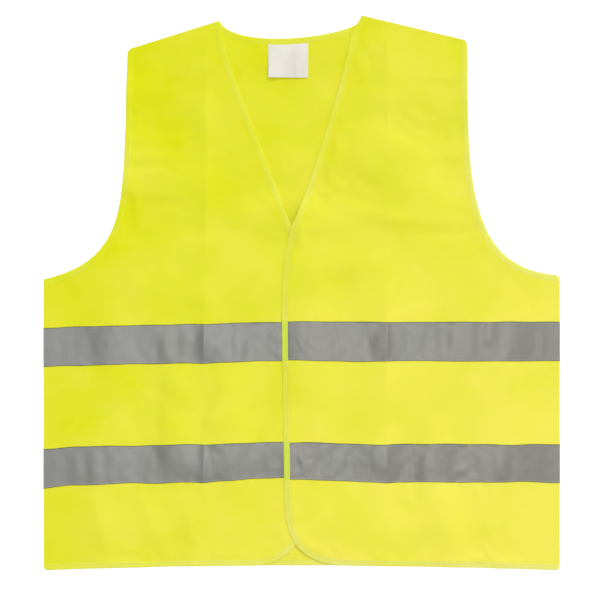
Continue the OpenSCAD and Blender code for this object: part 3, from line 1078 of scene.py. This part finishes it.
# Each knit's two tones hold both its random mottle and the painted light gradient of the drift. The lighter,
# whiter tone is where more light is painted.
YELLOW = knit("yellow_knit", (0.790, 0.805, 0.000), (0.965, 0.892, 0.098), sheen=0.03)
BINDING = knit("edge_binding", (0.805, 0.830, 0.006), (0.920, 0.890, 0.190), rib=0.5 * MM, sheen=0.08)
TAPE = reflective("reflective_tape", (0.250, 0.252, 0.248), (0.246, 0.243, 0.208))
PILE = knit("hook_and_loop", (0.62, 0.64, 0.06), (0.74, 0.75, 0.10), rib=0.5 * MM, sheen=0.5, gloss=0.2)
LABEL = satin("label_satin", (0.78, 0.745, 0.66), (0.86, 0.83, 0.755))
THREAD = thread("yellow_thread", (0.66, 0.68, 0.05), (0.82, 0.83, 0.12))
# Dark olive for the tape's cut edge: its fabric backing, and a painted shadow along the edge.
TAPE_EDGE_BACKING_AND_SHADE = knit("tape_edge", (0.060, 0.062, 0.012), (0.110, 0.112, 0.022), rib=0.5 * MM, sheen=0.05)
TAPE_THREAD = thread("tape_thread", (0.29, 0.30, 0.24), (0.47, 0.48, 0.40))
ON_TAPE_TONES = (0.620, 0.780, 0.055), (0.740, 0.860, 0.105)
BINDING_ON_TAPE = knit("binding_on_tape", *ON_TAPE_TONES, rib=0.5 * MM, sheen=0.1)


# ---------------------------------------------------------------- the vest's layers

PANEL_NODES = {
    "back": ["back_panel"],
    "right_front": ["right_front_side", "right_front_flap"],
    "left_front": ["left_front_side", "left_front_flap"],
}
BACK = Layer("back", seed=11, facing=-1)
RIGHT = Layer("right_front", "right_front_open", "right_front", seed=23)
LEFT = Layer("left_front", "left_front_open", "left_front", seed=37)
LAYERS = (BACK, RIGHT, LEFT)
RIGHT.under = LEFT.under = BACK
LEFT.clearance = 1.35 * MM


def tape_lines(nodes):
    """The low and high edges of a tape, as functions of x, and its ends, from its CAD nodes."""
    points = np.vstack([top_loop(n) for n in nodes])
    x0, x1 = points[:, 0].min(), points[:, 0].max()
    ends = [points[np.abs(points[:, 0] - x) < 1 * MM] for x in (x0, x1)]

    def edge(pick):
        y0, y1 = (pick(e[:, 1]) for e in ends)
        return lambda x: y0 + (y1 - y0) * (np.asarray(x) - x0) / (x1 - x0)

    return edge(np.min), edge(np.max), x0, x1


def drawn(line, rise, pull, pull_reach, dip, tilt):
    """A tape's edge as the cloth has drawn it up: all along, more towards the closure, less at the crease."""

    def edge(x):
        x = np.asarray(x)
        out = np.abs(x - CLOSURE_X)
        crease = RIGHT_CREASE_X if pull_reach < 0 else LEFT_CREASE_X
        towards = smooth(1 - out / abs(pull_reach))
        up = rise * smooth((HALF_W - np.abs(x)) / (40 * MM)) + pull * towards
        up = up - dip * np.exp(-(((x - crease) / (13 * MM)) ** 2)) - tilt * smooth(out / (80 * MM))
        return line(x) + up

    return edge


# For each front tape's low and high edge, in mm: rise, pull towards the closure and the pull's reach,
# dip at the crease, tilt. A reach below 0 is for the right front.
DRAWN = {
    ("right_front", "upper"): ((1.2, 0, -110, 1.0, 0), (0.2, 0, -110, 0.4, 0)),
    ("right_front", "lower"): ((3.7, 3.0, -125, 1.4, 0), (1.7, 0.4, -110, 0.6, 0)),
    ("left_front", "upper"): ((0, 0.8, 80, 0.4, 0), (0, 0, 80, 0.4, 0.6)),
    ("left_front", "lower"): ((0.9, 2.9, 120, 1.2, 0.8), (0.8, -0.4, 60, 0.3, 2.5)),
}

TAPES = {}
for layer, prefix in ((BACK, "back"), (RIGHT, "right"), (LEFT, "left")):
    for level in ("upper", "lower"):
        low, high, x0, x1 = tape_lines([n for n in NODES if n.startswith(f"{prefix}_{level}_tape")])
        if layer is RIGHT:
            FRONT_TAPE_MIDDLES.append(lambda x, low=low, high=high: (low(x) + high(x)) / 2)
        if layer.fold:
            low, high = (
                drawn(line, r * MM, p * MM, reach * MM, d * MM, tilt * MM)
                for line, (r, p, reach, d, tilt) in zip((low, high), DRAWN[layer.name, level])
            )
        TAPES[layer.name, level] = (low, high, x0, x1)
for layer in LAYERS:
    layer.tape_bands = [TAPES[layer.name, level][:2] for level in ("upper", "lower")]


def band(layer, where):
    """The binding's course along the layer's bound edge that passes the test."""
    i = next(i for i, chain in enumerate(layer.chains) if where(chain))
    return Band(layer, layer.chains[i], layer.seams[i], layer.seams[(i + 1) % len(layer.seams)])


def reaches_hem(chain):
    """A front's neck, free edge and hem, or the back's hem."""
    return chain[:, 1].min() < -0.9 * HALF_L


def round_neck(chain):
    """The back's neck."""
    return abs(chain[:, 0].mean()) < 50 * MM and not reaches_hem(chain)


def left_armhole(chain):
    return chain[:, 0].mean() > 150 * MM


def right_armhole(chain):
    return chain[:, 0].mean() < -150 * MM


BANDS = {
    "right_front_binding": [band(RIGHT, reaches_hem)],
    "left_front_binding": [band(LEFT, reaches_hem)],
    "right_armhole_binding": [band(BACK, right_armhole), band(RIGHT, right_armhole)],
    "left_armhole_binding": [band(BACK, left_armhole), band(LEFT, left_armhole)],
    "back_neck_binding": [band(BACK, round_neck)],
    "back_hem_binding": [band(BACK, reaches_hem)],
}

# Where the edges of the fronts sink, in mm: the part of the edge from low to high Y, every so many points,
# the drop, its reach, and the Y where it starts and where it is full. The edges of the neck sink towards
# the back, and the free edge of the left front lies down on the right front, most between its tapes.
SAGS = {
    RIGHT: [(60, 400, 4, 4.4, 60, 82, 160)],
    LEFT: [
        (60, 400, 4, 6.8, 60, 82, 160),
        (-400, 90, 6, 1.5, 11, 112, 92),
        (-30, 70, 6, 0.5, 9, 100, 60),
        (-184, -92, 6, 0.5, 9, 100, 60),
        (-400, -250, 6, 0.5, 9, 100, 60),
    ],
}
for layer, sags in SAGS.items():
    edge = BANDS[layer.name + "_binding"][0].path
    for low, high, every, drop, reach, start_y, full_y in sags:
        part = edge[(edge[:, 1] > low * MM) & (edge[:, 1] < high * MM)][::every]
        layer.sag_paths.append((part, drop * MM, reach * MM, start_y * MM, full_y * MM))

simulate([BACK])
simulate([LEFT, RIGHT])


# ---------------------------------------------------------------- the vest's pieces


def keep(obj, slot, *nodes):
    """Hides the CAD nodes that a piece stands for. The slot, its finish, is not used."""
    if nodes:
        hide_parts(*nodes)
    return obj


def row_on_binding(band):
    """The two rows of stitches, outside and inside, that hold a binding."""
    ends = stitch_row(band.at_depth(np.full(len(band.path), BINDING_ROW))[1:-1])
    return [(band.layer, ends, side * BINDING_TOP, True) for side in (1, -1)]


def rows_on_tape(layer, low, high, x0, x1):
    """The rows of stitches along both edges of a tape, outside and inside."""
    x = np.linspace(x0 + 1 * MM, x1 - 1 * MM, 120)
    rows = []
    for y in (low(x) + TAPE_ROW, high(x) - TAPE_ROW):
        ends = stitch_row(np.column_stack([x, y]))
        rows += [(layer, ends, TAPE_TOP), (layer, ends, -PANEL_T / 2 - 0.03 * MM)]
    return rows


def fibres(layer, centres, turns, station, side, thickness, above):
    """Small bent three-sided fibres standing on a layer: each follows the stations (out, up)."""
    sides, rings = 3, []
    for out, up in station:
        for k in range(sides):
            a = 2 * math.pi * k / sides
            rings.append((out + thickness * math.cos(a) * 0.5, thickness * math.sin(a), up))
    rings = np.array(rings)
    c, n = np.cos(turns)[:, None], np.sin(turns)[:, None]
    x = centres[:, :1] + rings[None, :, 0] * c - rings[None, :, 1] * n
    y = centres[:, 1:] + rings[None, :, 0] * n + rings[None, :, 1] * c
    up = np.tile(rings[:, 2], len(centres))
    points = layer.place(np.column_stack([x.ravel(), y.ravel()]), side * (above + up))
    faces = []
    for f in range(len(centres)):
        faces += tube_faces(len(station), sides, f * len(rings))
    return points, faces


HOOK = [(0, 0), (0, 0.30 * MM), (0.10 * MM, 0.40 * MM), (0.21 * MM, 0.31 * MM)]
LOOP = [(-0.24 * MM, 0), (-0.22 * MM, 0.24 * MM), (0, 0.38 * MM), (0.22 * MM, 0.24 * MM), (0.24 * MM, 0)]


def make_patch(layer, name, node, hooked):
    """A patch of hooks or loops: a rounded woven base with its fibres."""
    lo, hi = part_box(node)
    side = 1 if (lo.z + hi.z) / 2 > layer.z else -1
    base_from = (TAPE_TOP if side > 0 else PANEL_T / 2) + 0.08 * MM
    ply, radius, fine_step, margin = 0.42 * MM, 2.5 * MM, 1.6 * MM, 1.3 * MM
    corners = [(hi.x, hi.y, 0), (lo.x, hi.y, 1), (lo.x, lo.y, 2), (hi.x, lo.y, 3)]
    loop = []
    for x, y, quarter in corners:
        centre = np.array([x, y]) + radius * np.array([-1 if x == hi.x else 1, -1 if y == hi.y else 1])
        for a in np.linspace(quarter, quarter + 1, 5) * math.pi / 2:
            loop.append(centre + radius * np.array([math.cos(a), math.sin(a)]))
    loop = subdivided(np.array(loop), fine_step)
    grid = grid_points(np.arange(lo.x, hi.x, fine_step), np.arange(lo.y, hi.y, fine_step))
    grid = grid[inside(grid, loop) & (path_distance(grid, np.vstack([loop, loop[:1]])) > 0.6 * MM)]
    xy, faces, rim = filled(loop, grid)
    points, faces = thickened(layer.place(xy, side * (base_from + ply / 2)), faces, rim, ply)
    rng = np.random.default_rng(layer.seed + (1 if "upper" in node else 2))
    pitch = 1.25 * MM if hooked else 0.95 * MM
    columns, rows = (np.arange(lo[k] + margin, hi[k] - 1.2 * MM, pitch) for k in (0, 1))
    centres = grid_points(columns, rows)
    if hooked:
        turns = np.where((np.arange(len(centres)) // len(columns)) % 2, 0.0, math.pi)
    else:
        centres = centres + rng.uniform(-0.25, 0.25, centres.shape) * MM
        turns = rng.uniform(0, 2 * math.pi, len(centres))
    more, more_faces = fibres(
        layer, centres, turns, HOOK if hooked else LOOP, side, 0.07 * MM, base_from + ply - 0.02 * MM
    )
    faces += [tuple(i + len(points) for i in face) for face in more_faces]
    return finished(new_mesh(name, np.vstack([points, more]), faces), layer, PILE)


def make_allowance(name, upper, seam):
    """A seam's two allowances, turned in between the back and a front, and their overlock thread."""
    width, margin = 7 * MM, 11 * MM
    gap = Between(BACK, upper)
    a, b = seam
    way = (b - a) / np.linalg.norm(b - a)
    inward = np.array([-way[1], way[0]])
    length = np.linalg.norm(b - a) - 2 * margin
    stations = np.linspace(0, length, int(length / (3 * MM)) + 1)
    depth = np.linspace(0.4 * MM, width, 6)
    ply, apart = 0.20 * MM, 0.13 * MM
    points, faces = [], []
    ripple = Waves(upper.seed + 60, 0.012, 0.05, 10)
    for side in (1, -1):
        s, d = np.meshgrid(stations, depth, indexing="ij")
        xy = a + (s.ravel()[:, None] + margin) * way + d.ravel()[:, None] * inward
        loose = smooth(d.ravel() / width)
        height = side * apart * (1 + 0.5 * loose) + 0.10 * MM * ripple(xy) * loose
        quads, rim = grid_faces(len(stations), len(depth))
        sheet, more = thickened(gap.place(xy, height), quads, rim, ply)
        faces += [tuple(i + sum(map(len, points)) for i in face) for face in more]
        points.append(sheet)
    obj = finished(new_mesh(name, np.vstack(points), faces), gap, YELLOW)
    teeth = np.linspace(1 * MM, length - 1 * MM, int(length / (2.2 * MM)))
    outer = a + (teeth[:, None] + margin) * way + (width - 0.15 * MM) * inward
    inner = a + (teeth[:, None] + margin + 0.9 * MM) * way + (width - 3.6 * MM) * inward
    rows = [(gap, (outer, inner), side * 0.34 * MM) for side in (1, -1)]
    return obj, make_stitching(name.replace("allowance", "overlock"), rows, THREAD)


def make_label(name):
    """The blank care label: satin held by its top under the neck binding, with its lower end hemmed."""
    lo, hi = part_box("care_label")
    top, hem_depth, ply_gap = hi.y + 3 * MM, 4.2 * MM, 0.10 * MM
    xs = np.linspace(lo.x, hi.x, 41)
    course = [(y, 0.0) for y in np.linspace(top, lo.y + 1 * MM, 40)]
    course += [(lo.y + 0.35 * MM, -0.01 * MM), (lo.y, -(LABEL_T + ply_gap) / 2)]
    course += [(lo.y + 0.35 * MM, -LABEL_T - ply_gap)]
    course += [(y, -LABEL_T - ply_gap) for y in np.linspace(lo.y + 1 * MM, lo.y + hem_depth, 5)]
    fold_x = lo.x + 0.70 * (hi.x - lo.x)
    wave = Waves(51, 0.02, 0.06, 8)
    points = []
    for y, down in course:
        xy = np.column_stack([xs, np.full(len(xs), y)])
        free = smooth((hi.y - 1 * MM - y) / (hi.y - lo.y))
        lift = 0.15 * MM + free * (2.5 * MM + 0.35 * MM * wave(xy))
        lift = lift + free * 0.9 * MM * np.exp(-np.abs(xs - fold_x) / (2.5 * MM))
        lift = lift - free * 0.5 * MM * smooth((xs - fold_x) / (8 * MM))
        lift = lift + free * 1.8 * MM * smooth((lo.x + 22 * MM - xs) / (22 * MM))
        points.append(BACK.place(xy, PANEL_T / 2 + LABEL_T / 2 + lift + down))
    faces, rim = grid_faces(len(course), len(xs))
    points, faces = thickened(np.vstack(points), faces, rim, LABEL_T)
    obj = new_mesh(name, points, faces)
    obj.data.materials.append(LABEL)
    free = Vector((fold_x, hi.y - 1.0 * MM, hi.z))
    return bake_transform(obj)


PANELS = {}
for layer in LAYERS:
    panel = make_panel(layer, layer.name + "_cloth")
    PANELS[layer.name] = keep(panel, "yellow_knit", *PANEL_NODES[layer.name])

ON_PANEL = {layer.name: [] for layer in LAYERS}
BINDING_NODES = {
    "right_front_binding": ["right_front_binding", "right_hem_binding_side"],
    "left_front_binding": ["left_front_binding", "left_hem_binding_side"],
}
for name, bands in BANDS.items():
    piece = make_binding(bands, name + "_cloth")
    keep(piece, "edge_binding", *BINDING_NODES.get(name, [name]))
    rows = [row for each in bands for row in row_on_binding(each)]
    thread_piece = keep(make_stitching(name + "_stitching", rows, THREAD), "edge_binding")
    ON_PANEL[bands[-1].layer.name] += [piece, thread_piece]

TAPE_TUCK = 5.5 * MM  # how far a front tape goes on under the binding of the front's edge
BY_NAME = {layer.name: layer for layer in LAYERS}
for (name, level), (low, high, x0, x1) in TAPES.items():
    layer = BY_NAME[name]
    x_from = x0 - TAPE_TUCK if layer is LEFT else x0
    x_to = x1 + TAPE_TUCK if layer is RIGHT else x1
    title = f"{name.replace('_front', '')}_{level}_tape"
    tape = make_tape(layer, title + "_strip", low, high, x_from, x_to)
    nodes = [n for n in NODES if n.startswith(title)]
    keep(tape, "reflective_tape", *nodes)
    rows = rows_on_tape(layer, low, high, x0, x1)
    if layer is LEFT:
        lo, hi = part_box(level + "_loop_patch")
        y = np.linspace(float(low(lo.x)) + TAPE_ROW, float(high(lo.x)) - TAPE_ROW, 20)
        row = stitch_row(np.column_stack([np.full(len(y), lo.x + 3.5 * MM), y]))
        rows += [(layer, row, TAPE_TOP), (layer, row, -PANEL_T / 2 - 0.5 * MM)]
    sewn = keep(make_stitching(title + "_stitching", rows, TAPE_THREAD), "reflective_tape")

for level in ("upper", "lower"):
    for layer, kind in ((RIGHT, "hook"), (LEFT, "loop")):
        node = f"{level}_{kind}_patch"
        patch = make_patch(layer, f"{level}_{kind}_strip", node, hooked=kind == "hook")
        ON_PANEL[layer.name].append(keep(patch, "hook_and_loop", node))

for layer in (RIGHT, LEFT):
    hand = layer.name.split("_")[0]
    for a, b in layer.seams:
        at_side = abs(a[0] - b[0]) < 1 * MM
        place = hand + ("_side" if at_side else "_shoulder")
        allowance, overlock = make_allowance(place + "_allowance", layer, (a, b))
        keep(allowance, "yellow_knit", place + "_seam")
        keep(overlock, "yellow_knit")
        ON_PANEL[layer.name] += [allowance, overlock]

label = keep(make_label("label_ribbon"), "label_satin", "care_label")
lo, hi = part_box("care_label")

for layer in LAYERS:
    panel, worn = PANELS[layer.name], ON_PANEL[layer.name]


# ---------------------------------------------------------------- floor, lights and camera


WHITE = (1, 1, 1, 1)


def area_light(name, place, aim, size, power):
    """A square light that faces a point."""
    data = bpy.data.lights.new(name, "AREA")
    data.shape = "SQUARE"
    data.size = size
    data.energy = power
    obj = in_scene(name, data)
    obj.location = place
    obj.rotation_euler = (Vector(aim) - Vector(place)).to_track_quat("-Z", "Y").to_euler()


def distant_light(name, towards, strength, softness):
    """A light from far off, in the direction given, `softness` degrees across."""
    data = bpy.data.lights.new(name, "SUN")
    data.energy = strength
    data.angle = math.radians(softness)
    in_scene(name, data).rotation_euler = Vector(towards).to_track_quat("Z", "Y").to_euler()


def white_floor():
    """A floor that is white whatever falls on it, like the photo's cut-out background."""
    floor = new_mesh("floor", [(-8, -8, 0), (8, -8, 0), (8, 8, 0), (-8, 8, 0)], [(0, 1, 2, 3)])
    floor.location.z = -0.4 * MM
    material = bpy.data.materials.new("floor_white")
    material.use_nodes = True
    tree = material.node_tree
    tree.nodes.clear()
    glow = add_node(tree, "ShaderNodeEmission", values={"Color": WHITE, "Strength": 1.08})
    add_node(tree, "ShaderNodeOutputMaterial", {"Surface": glow.outputs[0]})
    floor.data.materials.append(material)


def white_world(overhead, horizon):
    """White light from all round: bright along the horizon, dimmer from about 15 degrees up."""
    world = bpy.data.worlds.new("studio")
    world.use_nodes = True
    tree = world.node_tree
    direction = add_node(tree, "ShaderNodeTexCoord").outputs["Generated"]
    parts = add_node(tree, "ShaderNodeSeparateXYZ", {0: direction})
    values = {"From Min": 0.14, "From Max": 0.26, "To Min": horizon, "To Max": overhead}
    links = {"Value": parts.outputs["Z"]}
    fall = add_node(tree, "ShaderNodeMapRange", links, values, interpolation_type="SMOOTHSTEP")
    sky = tree.nodes["Background"]
    sky.inputs["Color"].default_value = WHITE
    tree.links.new(fall.outputs["Result"], sky.inputs["Strength"])
    bpy.context.scene.world = world


def camera_above(centre, width, height=2.5):
    """A camera straight above, up towards the neck, that sees the given width of the cloth."""
    data = bpy.data.cameras.new("camera")
    data.sensor_width = 36
    data.lens = data.sensor_width * height / width
    obj = in_scene("camera", data)
    obj.location = (*centre, height + 8 * MM)
    bpy.context.scene.camera = obj


white_floor()
white_world(0.235, 1.05)
distant_light("key", (0.22, 0.62, 0.80), 1.10, 35)
distant_light("side", (0.75, -0.35, 0.75), 0.36, 45)
area_light("front", (0.05, 0.0, 2.6), (0, 0, 0), 1.0, 23.5)
camera_above((-2.15 * MM, -8.9 * MM), 756.2 * MM)
bpy.context.scene.view_settings.view_transform = "Standard"
